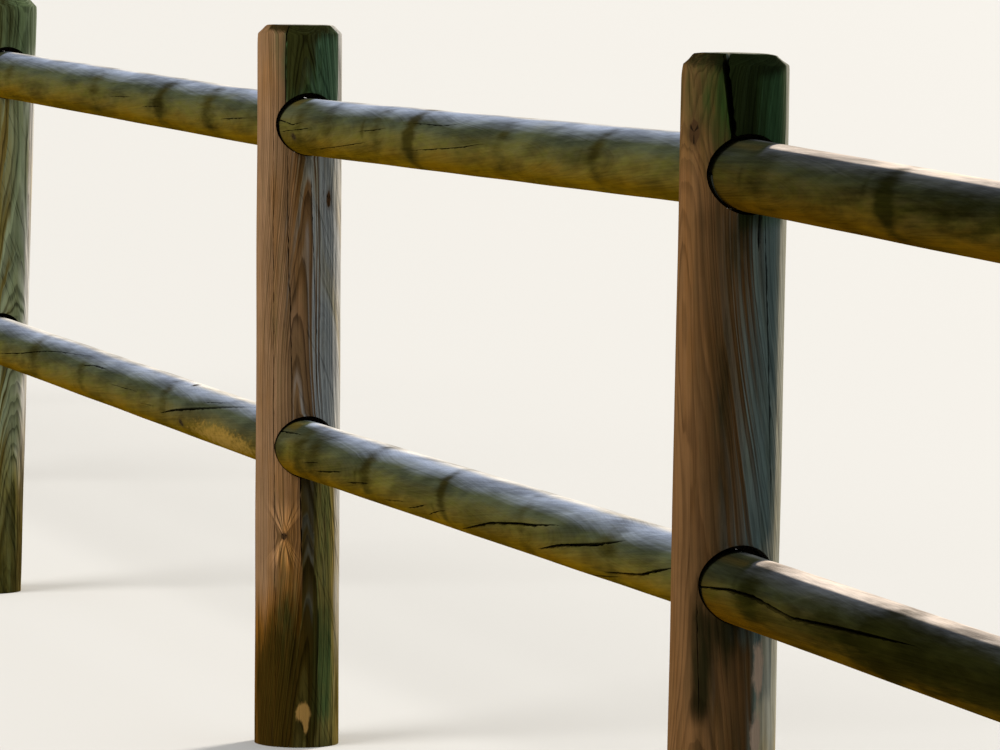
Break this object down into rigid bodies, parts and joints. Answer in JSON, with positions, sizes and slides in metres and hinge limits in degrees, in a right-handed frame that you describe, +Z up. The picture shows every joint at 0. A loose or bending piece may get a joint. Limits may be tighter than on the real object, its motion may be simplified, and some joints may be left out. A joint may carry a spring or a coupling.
{
  "type": "wooden rail fence",
  "caption": "Run of weathered round timber fence: turned posts with coned heads and through bores, carrying two levels of round rails halved over each other inside the posts.",
  "frame": {"origin": "on the ground, at the centre of the middle post's foot", "axes": "+X along the fence, +Y to its far side, +Z up"},
  "size_m": [12.12, 0.1599, 1.0291],
  "materials": {
    "post_wood": "weathered, matt, with checks and algae",
    "rail_wood": "weathered, matt, grey on top and green at the sides"
  },
  "bodies": {
    "root": {"post_1": "post_wood", "post_2": "post_wood", "post_3": "post_wood", "post_4": "post_wood", "post_5": "post_wood", "post_6": "post_wood", "post_7": "post_wood", "lower_rail_1": "rail_wood", "lower_rail_2": "rail_wood", "lower_rail_3": "rail_wood", "lower_rail_4": "rail_wood", "lower_rail_5": "rail_wood", "lower_rail_6": "rail_wood", "top_rail_1": "rail_wood", "top_rail_2": "rail_wood", "top_rail_3": "rail_wood", "top_rail_4": "rail_wood", "top_rail_5": "rail_wood", "top_rail_6": "rail_wood"}
  },
  "joints": []
}
